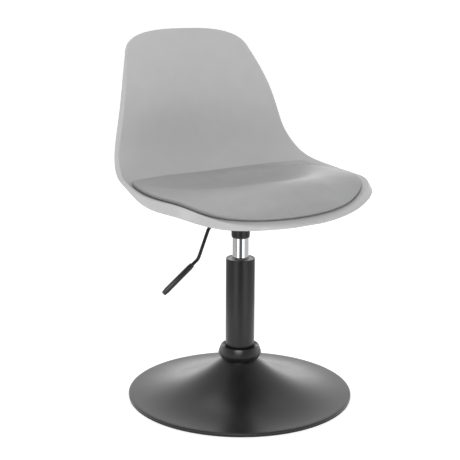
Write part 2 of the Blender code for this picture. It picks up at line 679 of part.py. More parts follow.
def main():
    clear_scene()
    look = {
        "shell_plastic": make_material("shell_plastic", (0.46, 0.46, 0.47), 0.45),
        "leather": make_material("leather", (0.38, 0.38, 0.39), 0.5),
        "board": make_material("board", (0.45, 0.33, 0.2), 0.8),
        "black_steel": make_material("black_steel", (0.02, 0.02, 0.021), 0.4, 0.2),
        "black_plastic": make_material("black_plastic", (0.02, 0.02, 0.02), 0.5),
        "rubber": make_material("rubber", (0.015, 0.015, 0.015), 0.8),
        "chrome": make_material("chrome", (0.85, 0.86, 0.88), 0.06, 1.0),
        "zinc_steel": make_material("zinc_steel", (0.6, 0.61, 0.62), 0.35, 1.0),
        "brass": make_material("brass", (0.75, 0.58, 0.28), 0.35, 1.0),
        "nylon": make_material("nylon", (0.8, 0.8, 0.78), 0.35),
    }
    swivel = make_axis("swivel_axis", (0, 0, FOOT_SPIGOT_TOP))
    lift = make_axis("lift_axis", (0, 0, CYLINDER_BOTTOM), swivel)
    lever = make_axis("lever_axis", (LEVER_PIVOT[0], 0, LEVER_PIVOT[1]), lift)
    pin = make_axis("valve_axis", (0, 0, PIN_TOP), lift)
    build_base(look)
    build_spindle(look, swivel)
    build_lift(look, lift)
    build_valve_pin(look, pin)
    build_mechanism(look, lift)
    build_lever(look, lever)
    shell = build_shell(look, lift)
    build_cushion(look, lift)
    build_shock_mounts(look, lift, shell)


main()
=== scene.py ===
"""Adjustable swivel stool: the visual model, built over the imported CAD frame."""

import json
import math

import bmesh
import bpy
import numpy as np
from mathutils import Matrix, Quaternion, Vector


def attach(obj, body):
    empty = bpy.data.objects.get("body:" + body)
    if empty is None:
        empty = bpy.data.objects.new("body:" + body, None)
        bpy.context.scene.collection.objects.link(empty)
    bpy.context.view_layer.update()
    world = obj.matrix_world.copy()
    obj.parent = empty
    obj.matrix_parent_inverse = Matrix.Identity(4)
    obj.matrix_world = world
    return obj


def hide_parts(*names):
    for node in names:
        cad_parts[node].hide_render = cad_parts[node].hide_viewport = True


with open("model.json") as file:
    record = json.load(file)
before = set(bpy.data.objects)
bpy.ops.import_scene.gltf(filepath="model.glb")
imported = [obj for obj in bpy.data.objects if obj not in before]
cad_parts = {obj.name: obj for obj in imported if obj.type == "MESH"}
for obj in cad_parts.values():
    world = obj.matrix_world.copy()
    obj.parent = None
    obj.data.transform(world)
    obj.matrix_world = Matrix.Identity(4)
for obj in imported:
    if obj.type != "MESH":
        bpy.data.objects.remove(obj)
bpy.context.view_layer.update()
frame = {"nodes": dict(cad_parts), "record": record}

MM = 0.001
GAP = 0.3  # left between pieces that touch

# ---------------------------------------------------------------- sizes, in millimetres

# Base and column
BASE_RADIUS = 200.0
RIM_TOP = 7.2
NECK_HEIGHT = 72.0
NECK_RADIUS = 27.8
NECK_TOP = 80.0
FLARE_POWER = 2.3  # how quickly the trumpet flattens towards its rim
FLARE_STEPS = 48
FLARE_SPACING = 1.3  # draws the flare's steps together towards the neck
NECK_BAND = 3.0  # how far above the flare the neck's straight part starts
NECK_WALL = 4.0  # how far the neck's inner face reaches below the flare's top
BASE_SHEET = 2.0
BASE_UNDERSIDE = 2.5  # how far below the trumpet's face its underside lies
RIM_BAND = 2.5  # width of the rounded rim outside the flare
RIM_CORNER = ((0.9, 0.2), (0.0, 1.1))  # its rounding, as (inwards, down) from the rim's top edge
RIM_UNDER = 2.2  # how far below the rim's top its underside lies
RUBBER_TOP = 3.0
RUBBER_WIDTH = 15.0
RUBBER_INSET = 0.5
RUBBER_CHAMFER = 1.0
COLUMN_RADIUS = 25.7
COLUMN_WALL = 2.0
COLUMN_BOTTOM = 13.2
COLUMN_TOP = 252.0
BUSH_BOTTOM = 170.0
BUSH_TOP = 251.5
BUSH_MOUTH = 0.8  # space round the cylinder at the bush's mouth
BUSH_MOUTH_DEPTH = 0.5
# Trim ring round the column's foot, as (radius, z)
RING_PROFILE = ((26.3, 81.3), (28.3, 80.6), (28.3, 73.0), (33.0, 68.1), (35.9, 72.3), (38.2, 76.4),
                (38.5, 78.0), (37.6, 82.0), (34.4, 90.3), (33.4, 91.8), (32.6, 92.0), (31.6, 91.5),
                (27.6, 88.7), (26.3, 88.4))

# Gas lift
CYLINDER_RADIUS = 14.5
CYLINDER_WALL = 2.0
CYLINDER_BOTTOM = 46.0
CYLINDER_TOP = 318.0
TAPER_START = 286.0
TAPER_TOP_RADIUS = 13.7
SOCKET_BOTTOM = 289.2
SOCKET_TOP = 317.0
HOUSING_BOTTOM = 309.0
# Socket that takes the cylinder's taper, as (radius, z)
SOCKET_PROFILE = ((14.8, SOCKET_BOTTOM + 0.5), (15.1, SOCKET_BOTTOM), (15.7, SOCKET_BOTTOM + 0.6),
                  (16.1, SOCKET_BOTTOM + 1.8), (16.3, SOCKET_BOTTOM + 3.6), (16.4, 298.0), (16.7, 301.5),
                  (17.2, 305.0), (18.2, HOUSING_BOTTOM - 0.4), (15.9, HOUSING_BOTTOM - 0.4),
                  (15.9, SOCKET_TOP), (14.1, SOCKET_TOP))

# Lever, in the plane y = 0, as (x, z)
LEVER_CORNERS = ((6.0, 325.4), (-15.0, 325.4), (-22.0, 318.5), (-67.1, 318.5), (-90.8, 263.7))
LEVER_BENDS = (4.0, 3.5, 14.0, 16.0)  # inner bend radius at each corner after the first point
GRIP_START = (-103.4, 255.0)
GRIP_END = (-162.3, 213.8)
LEVER_RADIUS = 3.0
GRIP_RADIUS = 5.0
GRIP_CAP = 5.0  # thickness of the grip's closed end
ROD_SHORT = 6.0  # how far before the grip's end the rod stops
# The grip's two ends, as (less than the full radius, distance from that end)
GRIP_FIRST_END = ((0.9, 0.0), (0.4, 0.6), (0.4, 5.0), (0.0, 5.8))
GRIP_LAST_END = ((0.0, 7.0), (0.4, 6.2), (0.5, 2.2), (1.4, 0.0))

# The seat's tables, the two caps and the dish come from a fit to the stool's outline, then rounded.
# Seat shell: its inner surface along the middle, as (share, y, z) from the front lip to the top
CENTRE_LINE = ((0.0, -182.5, 349.0), (0.02, -178.9, 348.6), (0.055, -161.2, 357.2), (0.17, -106.6, 384.0),
               (0.33, -35.1, 369.0), (0.5, 76.2, 362.9), (0.67, 143.4, 434.0), (0.83, 150.7, 523.1),
               (1.0, 177.6, 643.5))
# Half width and how far the edge stands up, each at a share of the length from front to top
HALF_WIDTH = ((0.0, 137.8), (0.08, 172.5), (0.16, 203.5), (0.26, 217.1), (0.38, 209.1), (0.5, 199.1),
              (0.65, 183.2), (0.85, 149.0), (1.0, 116.1))
EDGE_RISE = ((0.0, 26.6), (0.05, 15.4), (0.1, 4.6), (0.17, 3.6), (0.25, 18.7), (0.35, 38.6), (0.47, 48.7),
             (0.6, 47.1), (0.8, 31.4), (1.0, 1.2))
# How much the cross-section swells up between the middle and the edge
SIDE_SWELL = ((0.0, -28.2), (0.12, -23.0), (0.25, -4.4), (0.4, -17.2), (0.6, 3.8), (0.8, 0.0), (1.0, 0.0))
# Depth of the turned-down edge
EDGE_DEPTH = ((0.0, 4.6), (0.1, 15.7), (0.2, 17.4), (0.35, 8.1), (0.5, 9.7), (1.0, 5.4))
FRONT_CAP = (82.1, 2.12)  # length over which the front rounds in, and its roundness
TOP_CAP = (39.8, 2.85)
DISH_SEAT = 1.72  # how the cross-section curves: 2 is a parabola
DISH_BACK = 1.75
DISH_CHANGE = (0.35, 0.35)  # share of the length where the seat's curve turns into the back's, and how long
SWELL_POWER = 8  # the higher it is, the nearer to the edge the side's swell reaches
SHELL_WALL = 5.0
EDGE_WALL = 5.0
EDGE_ROUND = 1.6  # radius of the edge's corners
EDGE_FILLET = 2.0  # where the edge meets the shell's underside
FILLET_FADE = 6.0  # edge depth past the wall at which the fillet is full
SHELL_COUNTS = (36, 9)  # quads across the middle block, and rings blended into it
SHELL_OUTLINE_STEPS = 150
# How far inside the outline each ring of faces lies
SHELL_RINGS = (EDGE_ROUND, 3.0, 5.0, 8.0, 13.0, 21.0)
SHELL_UNDER_RINGS = (EDGE_WALL + EDGE_FILLET, 9.0, 11.5, 15.0, 19.0, 25.0)
BLOCK = 0.5  # width of the middle block of quads, as a share of the outline's
BLOCK_ENDS = (0.45, 0.35)  # space in front of it and behind it, as shares of 1 - BLOCK of the length
OUTLINE_SAMPLES = 4000  # points on the fine trace that an outline is spaced out from
NORMAL_STEP = 0.5  # half the distance over which a normal is measured

# Cushion
CUSHION_MARGIN = 12.2  # shell left showing beside the cushion
CUSHION_FRONT_MARGIN = 14.7
CUSHION_END = 0.539  # share of the length where the cushion ends, up the back's curve
CUSHION_REAR_CAP = (70.3, 2.2)
CUSHION_HEIGHT = 11.5  # before the foam swells
CUSHION_ROLL = 42.0  # distance over which the edge rounds up to full height
CUSHION_ROLL_POWER = 2.2
CUSHION_BED = 0.7  # between the shell and the cushion
CUSHION_EDGE = 6.6  # height of the widest line of its edge
CUSHION_TUCK = 5.5  # how far the edge draws in under itself
CUSHION_OUTLINE_STEPS = 120
CUSHION_RINGS = (0.0, 0.6, 1.8, 4.0, 7.5, 12.0, 17.0, 23.0, 30.0)
CUSHION_UNDER_RINGS = (CUSHION_TUCK, CUSHION_TUCK + 1.5, CUSHION_TUCK + 4, 12.0, 17.0, 23.0, 30.0, 38.0)
CUSHION_ACROSS = 32
SWELL = 5.0  # the most that the foam may swell
SWELL_FRAMES = 20
HELD_EDGE = 2.0  # band along the cushion's edge that can't swell
HELD_FADE = 10.0  # distance over which it becomes free

# Studio, in metres and degrees. The camera was fitted to the base's rim and the column's edges.
CAMERA_PLACE = (-1.1210, -1.4717, 0.7326)
CAMERA_AIM = (0.58228, 0.78072, -0.22675)
CAMERA_ROLL = 0.305
CAMERA_LENS, CAMERA_SENSOR = 84.92, 36.0  # both in millimetres
CAMERA_AZIMUTH = -127.3  # of the camera's place, seen from the stool
BACKDROP_SIDE = (0.598, 0.802, 0.0)  # from the camera's side to the backdrop
WORLD_FRONT, WORLD_BACK = 0.3, 2.6  # light from the camera's side and from the backdrop
WORLD_TOP = 0.36  # share of it left higher up
WORLD_FADE = (0.03, 0.45)  # upward part of the light's direction, where it starts and ends fading to that
FLOOR_REACH = 40.0
CARD_NEAR, CARD_FAR, CARD_HEIGHT = 0.5, 6.0, 0.004
CARD_STEPS = 8

# ---------------------------------------------------------------- meshes


def mesh_from(name, points, faces, sharp_angle=35.0):
    """A mesh in metres from points in millimetres, with its faces turned outwards."""
    mesh = bpy.data.meshes.new(name)
    mesh.from_pydata([tuple(float(c) * MM for c in p) for p in points], [], faces)
    work = bmesh.new()
    work.from_mesh(mesh)
    bmesh.ops.recalc_face_normals(work, faces=work.faces)
    work.to_mesh(mesh)
    work.free()
    mesh.shade_smooth()
    mesh.set_sharp_from_angle(angle=math.radians(sharp_angle))
    return mesh


def place(name, data, slot, body, *nodes):
    """Links a piece with its slot's look, which rides on a body and stands for the named CAD nodes."""
    piece = bpy.data.objects.new(name, data)
    bpy.context.scene.collection.objects.link(piece)
    data.materials.append(LOOKS[slot])
    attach(piece, body)
    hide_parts(*nodes)
    return piece


def soften(piece, width, segments=3, angle=30.0):
    """Rounds a piece's sharp edges."""
    bevel = piece.modifiers.new("rounded_edges", "BEVEL")
    bevel.width = width * MM
    bevel.segments = segments
    bevel.limit_method = "ANGLE"
    bevel.angle_limit = math.radians(angle)
    bevel.harden_normals = True


def turned_mesh(name, profile, segments=128):
    """A closed profile of (radius, z) turned round Z."""
    points, rings, faces = [], [], []
    for radius, z in profile:
        if radius == 0:
            rings.append([len(points)] * segments)
            points.append((0.0, 0.0, z))
            continue
        rings.append([len(points) + step for step in range(segments)])
        for step in range(segments):
            angle = 2 * math.pi * step / segments
            points.append((radius * math.cos(angle), radius * math.sin(angle), z))
    for first, second in zip(rings, rings[1:] + rings[:1]):
        for step in range(segments):
            after = (step + 1) % segments
            unique = list(dict.fromkeys((first[step], first[after], second[after], second[step])))
            if len(unique) > 2:
                faces.append(unique)
    return mesh_from(name, points, faces)


def bent_path(corners, bends, arc_steps):
    """Points along straight runs joined by round bends of the given radii."""
    path = [Vector(corners[0])]
    for before, corner, after, radius in zip(corners, corners[1:], corners[2:], bends):
        back = (Vector(before) - Vector(corner)).normalized()
        on = (Vector(after) - Vector(corner)).normalized()
        half = back.angle(on) / 2
        setback = radius / math.tan(half)
        centre = Vector(corner) + (back + on).normalized() * radius / math.sin(half)
        start = Vector(corner) + back * setback - centre
        end = Vector(corner) + on * setback - centre
        for step in range(arc_steps + 1):
            path.append(centre + start.slerp(end, step / arc_steps) * radius)
    path.append(Vector(corners[-1]))
    return path


# ---------------------------------------------------------------- the seat's surface


def spline(table, at):
    """A natural cubic spline through the table's (position, values) rows, read at the given positions."""
    knots = np.array([row[0] for row in table], float)
    values = np.array([row[1:] for row in table], float)
    count, gap = len(knots), np.diff(knots)
    matrix, right = np.eye(count), np.zeros_like(values)
    for i in range(1, count - 1):
        matrix[i, i - 1:i + 2] = gap[i - 1], 2 * (gap[i - 1] + gap[i]), gap[i]
        slope_after = (values[i + 1] - values[i]) / gap[i]
        slope_before = (values[i] - values[i - 1]) / gap[i - 1]
        right[i] = 6 * (slope_after - slope_before)
    bend = np.linalg.solve(matrix, right)
    at = np.asarray(at, float)
    k = np.clip(np.searchsorted(knots, at) - 1, 0, count - 2)
    width = gap[k][..., None]
    before, after = (knots[k + 1] - at)[..., None], (at - knots[k])[..., None]
    cubic = (bend[k] * before**3 + bend[k + 1] * after**3) / (6 * width)
    linear = (values[k] / width - bend[k] * width / 6) * before
    linear += (values[k + 1] / width - bend[k + 1] * width / 6) * after
    result = cubic + linear
    return result[..., 0] if result.shape[-1] == 1 else result


def centre_line_samples(count=400):
    """Evenly numbered samples of the centre line: their run from the front, places and directions."""
    line = spline(CENTRE_LINE, np.linspace(0, 1, count))
    run = np.concatenate([[0], np.cumsum(np.linalg.norm(np.diff(line, axis=0), axis=1))])
    direction = np.gradient(line, axis=0)
    direction /= np.linalg.norm(direction, axis=1, keepdims=True)
    return run, line, direction


RUN, LINE, DIRECTION = centre_line_samples()
LENGTH = RUN[-1]


def rounded_end(distance, length, power):
    """1 away from an end, falling to 0 at it along a superellipse."""
    inside = np.clip(1 - distance / length, 0, 1)
    return (1 - inside**power) ** (1 / power)


def plain_half_width(along):
    return spline(HALF_WIDTH, along / LENGTH)


def shell_half_width(along):
    ends = rounded_end(along, *FRONT_CAP) * rounded_end(LENGTH - along, *TOP_CAP)
    return plain_half_width(along) * ends


def cushion_half_width(along):
    start = CUSHION_FRONT_MARGIN
    front = rounded_end(along - start, FRONT_CAP[0] - start, FRONT_CAP[1])
    rear = rounded_end(CUSHION_END * LENGTH - along, *CUSHION_REAR_CAP)
    return (plain_half_width(along) - CUSHION_MARGIN) * front * rear


def seat_surface(along, across):
    """Points of the shell's inner surface, at a run from the front and a distance from the middle."""
    share = along / LENGTH
    line = np.stack([np.interp(along, RUN, LINE[:, i]) for i in (0, 1)], -1)
    direction = np.stack([np.interp(along, RUN, DIRECTION[:, i]) for i in (0, 1)], -1)
    blend = np.clip((share - DISH_CHANGE[0]) / DISH_CHANGE[1], 0, 1)
    blend = blend * blend * (3 - 2 * blend)
    power = DISH_SEAT + (DISH_BACK - DISH_SEAT) * blend
    reach = np.abs(across / plain_half_width(along))
    rise = spline(EDGE_RISE, share) * reach**power
    rise += spline(SIDE_SWELL, share) * (reach**power - reach**SWELL_POWER)
    y = line[..., 0] - direction[..., 1] * rise
    z = line[..., 1] + direction[..., 0] * rise
    return np.stack([across + 0 * y, y, z], -1)


def seat_normal(along, across):
    """Unit normals of the inner surface, towards the sitter."""
    step = NORMAL_STEP
    inside = np.clip(along, step, LENGTH - step)
    on = seat_surface(inside + step, across) - seat_surface(inside - step, across)
    side = seat_surface(inside, across + step) - seat_surface(inside, across - step)
    normal = np.cross(side, on)
    return normal / np.linalg.norm(normal, axis=-1, keepdims=True)


def closed_outline(half_width, start, end, half_count):
    """Evenly spaced (along, across) points, from the front's middle round by +X and back by -X."""
    turn = np.linspace(0, math.pi, OUTLINE_SAMPLES)
    along = start + (end - start) * (1 - np.cos(turn)) / 2
    edge = np.stack([along, half_width(along)], -1)
    run = np.concatenate([[0], np.cumsum(np.linalg.norm(np.diff(edge, axis=0), axis=1))])
    even = np.linspace(0, run[-1], half_count + 1)
    right = np.stack([np.interp(even, run, edge[:, i]) for i in (0, 1)], -1)
    right[[0, -1], 1] = 0
    return np.concatenate([right, right[-2:0:-1] * (1, -1)])


class RingGrid:
    """Quads over an outline: rings that follow it, blended into a square block in the middle."""

    def __init__(self, outline, insets, across_count, blend_count):
        half = len(outline) // 2
        along_count = half - across_count
        middle = across_count // 2
        front, back = outline[0, 0], outline[half, 0]
        low = front + (back - front) * (1 - BLOCK) * BLOCK_ENDS[0]
        high = back - (back - front) * (1 - BLOCK) * BLOCK_ENDS[1]
        right = outline[:half + 1]
        cells = {}
        for j in range(along_count + 1):
            along = low + (high - low) * j / along_count
            reach = BLOCK * np.interp(along, right[:, 0], right[:, 1])
            for i in range(-middle, middle + 1):
                cells[i, j] = (along, reach * i / middle)
        border = [(i, 0) for i in range(middle)]
        border += [(middle, j) for j in range(along_count)]
        border += [(i, along_count) for i in range(middle, -middle, -1)]
        border += [(-middle, j) for j in range(along_count, 0, -1)]
        border += [(i, 0) for i in range(-middle, 0)]
        core = np.array([cells[key] for key in border])
        self.reach = np.linalg.norm(core - outline, axis=1)
        self.outline, self.core, self.count = outline, core, len(outline)
        last = insets[-1]
        rings = [np.full(self.count, inset) for inset in insets]
        rings += [last + (self.reach - last) * k / blend_count for k in range(1, blend_count)]
        points = [self.at(inset) for inset in rings]
        depth = rings + [self.reach]
        self.points = np.concatenate(points + [core])
        number = {key: len(rings) * self.count + index for index, key in enumerate(border)}
        rest = [key for key in cells if key not in number]
        for key in rest:
            number[key] = len(number) + len(rings) * self.count
        self.points = np.concatenate([self.points, [cells[key] for key in rest]])
        self.depth = np.concatenate(depth + [np.full(len(rest), self.reach.max())])
        self.faces = []
        for level in range(len(rings)):
            for index in range(self.count):
                after = (index + 1) % self.count
                outer, inner = level * self.count, (level + 1) * self.count
                self.faces.append((outer + index, outer + after, inner + after, inner + index))
        for j in range(along_count):
            for i in range(-middle, middle):
                corners = ((i, j), (i + 1, j), (i + 1, j + 1), (i, j + 1))
                self.faces.append(tuple(number[corner] for corner in corners))

    def at(self, inset):
        """The outline moved inwards by a distance."""
        return self.outline + (self.core - self.outline) * (inset / self.reach)[:, None]


def closed_skin(name, upper, lower, faces, rim_rings, count, sharp_angle=60.0):
    """A closed skin from two layers with the same faces and the rings between their first rings."""
    offset = len(upper)
    whole = list(faces) + [tuple(offset + index for index in reversed(face)) for face in faces]
    starts = [0] + [2 * offset + count * k for k in range(len(rim_rings))] + [offset]
    for first, second in zip(starts, starts[1:]):
        for index in range(count):
            after = (index + 1) % count
            whole.append((first + index, second + index, second + after, first + after))
    points = np.concatenate([upper, lower] + list(rim_rings))
    return mesh_from(name, points, whole, sharp_angle)


# ---------------------------------------------------------------- materials

NOISE_LOW, NOISE_HIGH = 0.3, 0.7  # nearly all of a noise texture lies between these


def add_node(tree, kind, settings=None, **inputs):
    """Adds a shader node. Inputs are named with _ for a space, and an input that is a socket is linked."""
    node = tree.nodes.new("ShaderNode" + kind)
    for key, value in (settings or {}).items():
        setattr(node, key, value)
    for key, value in inputs.items():
        socket = node.inputs[key.replace("_", " ")]
        if isinstance(value, bpy.types.NodeSocket):
            tree.links.new(value, socket)
        else:
            socket.default_value = value
    return node


def surface(name, dark, light, roughness, mottle, metallic=0.0, **sockets):
    """A material whose colour drifts between two tones and its roughness between two values.

    Mottle is the scale of the drift. Sockets are further inputs of the shader."""
    material = bpy.data.materials.new(name)
    material.use_nodes = True
    tree = material.node_tree
    shader = tree.nodes["Principled BSDF"]
    shader.inputs["Metallic"].default_value = metallic
    for key, value in sockets.items():
        shader.inputs[key.replace("_", " ")].default_value = value
    where = add_node(tree, "TexCoord").outputs["Object"]
    drift = add_node(tree, "TexNoise", Vector=where, Scale=mottle, Detail=5.0, Roughness=0.6)
    tone = add_node(tree, "ValToRGB", Fac=drift.outputs["Fac"])
    ramp = tone.color_ramp.elements
    ramp[0].position, ramp[0].color = NOISE_LOW, (*dark, 1.0)
    ramp[1].position, ramp[1].color = NOISE_HIGH, (*light, 1.0)
    gloss = add_node(tree, "MapRange", Value=drift.outputs["Fac"], From_Min=NOISE_LOW,
                     From_Max=NOISE_HIGH, To_Min=roughness[0], To_Max=roughness[1])
    tree.links.new(tone.outputs["Color"], shader.inputs["Base Color"])
    tree.links.new(gloss.outputs["Result"], shader.inputs["Roughness"])
    return material, tree, shader, where


def bumped(tree, shader, height, distance):
    """Raises the surface by a height from 0 to 1 times a distance in millimetres, over earlier bumps."""
    bump = add_node(tree, "Bump", Height=height, Distance=distance * MM, Strength=1.0)
    normal = shader.inputs["Normal"]
    if normal.is_linked:
        tree.links.new(normal.links[0].from_socket, bump.inputs["Normal"])
    tree.links.new(bump.outputs["Normal"], normal)


def noise(tree, where, scale):
    return add_node(tree, "TexNoise", Vector=where, Scale=scale, Detail=3.0).outputs["Fac"]


def shell_plastic():
    material, tree, shader, where = surface(
        "moulded_plastic", dark=(0.425, 0.424, 0.428), light=(0.445, 0.444, 0.448),
        roughness=(0.44, 0.52), mottle=35.0)
    bumped(tree, shader, noise(tree, where, scale=1400.0), distance=0.02)
    bumped(tree, shader, noise(tree, where, scale=90.0), distance=0.05)
    return material


def faux_leather():
    material, tree, shader, where = surface(
        "faux_leather", dark=(0.28, 0.28, 0.283), light=(0.302, 0.302, 0.305),
        roughness=(0.38, 0.45), mottle=45.0, Sheen_Weight=0.1, Sheen_Roughness=0.4)
    pebbles = add_node(tree, "TexVoronoi", {"feature": "SMOOTH_F1"}, Vector=where, Scale=750.0,
                       Smoothness=0.4)
    bumped(tree, shader, pebbles.outputs["Distance"], distance=0.12)
    bumped(tree, shader, noise(tree, where, scale=2600.0), distance=0.02)
    return material


def powder_coat():
    material, tree, shader, where = surface(
        "black_powder_coat", dark=(0.0065, 0.0065, 0.0068), light=(0.009, 0.009, 0.0093),
        roughness=(0.29, 0.34), mottle=25.0)
    bumped(tree, shader, noise(tree, where, scale=1600.0), distance=0.012)
    return material


def black_plastic():
    material, tree, shader, where = surface(
        "black_plastic", dark=(0.011, 0.011, 0.011), light=(0.016, 0.016, 0.016),
        roughness=(0.27, 0.36), mottle=70.0)
    bumped(tree, shader, noise(tree, where, scale=1100.0), distance=0.02)
    return material


def black_rubber():
    material, tree, shader, where = surface(
        "black_rubber", dark=(0.01, 0.01, 0.01), light=(0.018, 0.018, 0.018),
        roughness=(0.65, 0.8), mottle=120.0)
    bumped(tree, shader, noise(tree, where, scale=700.0), distance=0.05)
    return material


def chrome():
    material, tree, shader, where = surface(
        "chrome_plating", dark=(0.8, 0.81, 0.83), light=(0.86, 0.87, 0.89),
        roughness=(0.05, 0.09), metallic=1.0, mottle=80.0)
    grooves = add_node(tree, "Mapping", Vector=where, Scale=(20.0, 20.0, 4000.0))
    bumped(tree, shader, noise(tree, grooves.outputs["Vector"], scale=1.0), distance=0.002)
    return material


def zinc_steel():
    material, tree, shader, where = surface(
        "zinc_plated_steel", dark=(0.5, 0.51, 0.53), light=(0.62, 0.63, 0.65),
        roughness=(0.25, 0.42), metallic=1.0, mottle=220.0)
    bumped(tree, shader, noise(tree, where, scale=900.0), distance=0.01)
    return material


def brass():
    material, tree, shader, where = surface(
        "turned_brass", dark=(0.62, 0.46, 0.2), light=(0.72, 0.56, 0.27),
        roughness=(0.25, 0.4), metallic=1.0, mottle=150.0)
    rings = add_node(tree, "Mapping", Vector=where, Scale=(60.0, 60.0, 3000.0))
    bumped(tree, shader, noise(tree, rings.outputs["Vector"], scale=1.0), distance=0.01)
    return material


def nylon():
    material, tree, shader, where = surface(
        "natural_nylon", dark=(0.7, 0.7, 0.67), light=(0.78, 0.78, 0.75),
        roughness=(0.3, 0.4), mottle=90.0)
    bumped(tree, shader, noise(tree, where, scale=1000.0), distance=0.015)
    return material


def plywood():
    material, tree, shader, where = surface(
        "seat_board", dark=(0.32, 0.22, 0.12), light=(0.48, 0.35, 0.2),
        roughness=(0.6, 0.75), mottle=15.0)
    grain = add_node(tree, "TexWave", Vector=where, Scale=60.0, Distortion=6.0, Detail=3.0)
    bumped(tree, shader, grain.outputs["Fac"], distance=0.1)
    return material


LOOKS = {
    "shell_plastic": shell_plastic(),
    "leather": faux_leather(),
    "board": plywood(),
    "black_steel": powder_coat(),
    "black_plastic": black_plastic(),
    "rubber": black_rubber(),
    "chrome": chrome(),
    "zinc_steel": zinc_steel(),
    "brass": brass(),
    "nylon": nylon(),
}

# ---------------------------------------------------------------- the pieces


def flare(radius, drop=0.0):
    share = (BASE_RADIUS - radius) / (BASE_RADIUS - NECK_RADIUS)
    return RIM_TOP - drop + (NECK_HEIGHT - RIM_TOP) * share**FLARE_POWER


def turned(name, profile, slot, body, node, edge=0.0, segments=128, angle=30.0):
    """A turned piece that stands for one CAD node. Edge is the width of its rounded edges."""
    piece = place(name, turned_mesh(name, profile, segments), slot, body, node)
    if edge:
        soften(piece, edge, angle=angle)


def build_trumpet():
    flare_width = BASE_RADIUS - RIM_BAND - NECK_RADIUS
    shares = [step / FLARE_STEPS for step in range(FLARE_STEPS + 1)]
    radii = [NECK_RADIUS + flare_width * share ** FLARE_SPACING for share in shares]
    outer = [(NECK_RADIUS, NECK_TOP), (NECK_RADIUS, NECK_HEIGHT + NECK_BAND)]
    outer += [(radius, flare(radius)) for radius in radii]
    lip_bottom, lip_inner = RUBBER_TOP + GAP, BASE_RADIUS - BASE_SHEET
    lip = [(BASE_RADIUS - inwards, RIM_TOP - down) for inwards, down in RIM_CORNER]
    lip += [(BASE_RADIUS, lip_bottom), (lip_inner, lip_bottom), (lip_inner, RIM_TOP - RIM_UNDER)]
    bore = COLUMN_RADIUS + GAP
    # The underside has a quarter of the steps, because the bottom plate hides it
    inner = [(radius, flare(radius, drop=BASE_UNDERSIDE)) for radius in radii[-3:4:-4]]
    inner += [(bore, NECK_HEIGHT - NECK_WALL), (bore, NECK_TOP)]
    turned("trumpet_shell", outer + lip + inner, "black_steel", "base", "base_trumpet", edge=0.5,
           segments=192)


def build_floor_ring():
    ring_inner, ring_outer = BASE_RADIUS - RUBBER_WIDTH, BASE_RADIUS - RUBBER_INSET
    floor_ring = ((ring_inner, 0), (ring_outer - RUBBER_CHAMFER, 0), (ring_outer, RUBBER_CHAMFER),
                  (ring_outer, RUBBER_TOP), (ring_inner, RUBBER_TOP))
    turned("floor_ring", floor_ring, "rubber", "base", "base_rubber_ring", edge=0.4, segments=192)


def build_column():
    """The outer column and the bush that guides the cylinder in its top."""
    tube_inner = COLUMN_RADIUS - COLUMN_WALL
    tube = ((COLUMN_RADIUS, COLUMN_BOTTOM), (COLUMN_RADIUS, COLUMN_TOP), (tube_inner, COLUMN_TOP),
            (tube_inner, COLUMN_BOTTOM))
    turned("outer_column", tube, "black_steel", "base", "column_tube", edge=0.6)
    fit = tube_inner - GAP
    bush = ((CYLINDER_RADIUS + GAP, BUSH_BOTTOM), (fit, BUSH_BOTTOM), (fit, BUSH_TOP),
            (CYLINDER_RADIUS + BUSH_MOUTH, BUSH_TOP),
            (CYLINDER_RADIUS + GAP, BUSH_TOP - BUSH_MOUTH_DEPTH))
    turned("guide_bush", bush, "black_plastic", "base", "column_guide_bush", edge=0.3)


def build_trim_ring():
    turned("trim_ring", RING_PROFILE, "black_plastic", "base", "base_trim_ring", edge=0.4, angle=20.0)


def build_lift():
    """The chrome cylinder, and the socket that takes its taper."""
    bore = CYLINDER_RADIUS - CYLINDER_WALL
    cylinder = ((CYLINDER_RADIUS, CYLINDER_BOTTOM), (CYLINDER_RADIUS, TAPER_START),
                (TAPER_TOP_RADIUS, CYLINDER_TOP), (bore, CYLINDER_TOP), (bore, CYLINDER_BOTTOM))
    turned("chrome_cylinder", cylinder, "chrome", "seat", "gas_cylinder", edge=0.5)
    turned("socket", SOCKET_PROFILE, "black_steel", "seat", "taper_socket")


def build_lever():
    start, end = Vector(GRIP_START), Vector(GRIP_END)
    along_grip = (end - start).normalized()
    length = (end - start).length
    corners = LEVER_CORNERS + (tuple(end - along_grip * ROD_SHORT),)
    path = bent_path([(x, 0, z) for x, z in corners], LEVER_BENDS, arc_steps=14)
    curve = bpy.data.curves.new("lever_bar", "CURVE")
    curve.dimensions = "3D"
    curve.bevel_depth = LEVER_RADIUS * MM
    curve.bevel_resolution = 8
    curve.use_fill_caps = True
    run = curve.splines.new("POLY")
    run.points.add(len(path) - 1)
    for point, place_on in zip(run.points, path):
        point.co = (*(place_on * MM), 1)
    run.use_smooth = True
    place("lever_bar", curve, "black_steel", "lever", "lever_rod")
    bore, bottom = LEVER_RADIUS + GAP, length - GRIP_CAP
    profile = [(bore, 0)]
    profile += [(GRIP_RADIUS - less, distance) for less, distance in GRIP_FIRST_END]
    profile += [(GRIP_RADIUS - less, length - distance) for less, distance in GRIP_LAST_END]
    profile += [(0, length), (0, bottom), (bore, bottom)]
    mesh = turned_mesh("grip", profile, segments=64)
    direction = Vector((along_grip.x, 0, along_grip.y))
    turn = Vector((0, 0, 1)).rotation_difference(direction).to_matrix().to_4x4()
    mesh.transform(Matrix.Translation((start.x * MM, 0, start.y * MM)) @ turn)
    soften(place("grip", mesh, "black_plastic", "lever", "lever_grip"), 0.3)


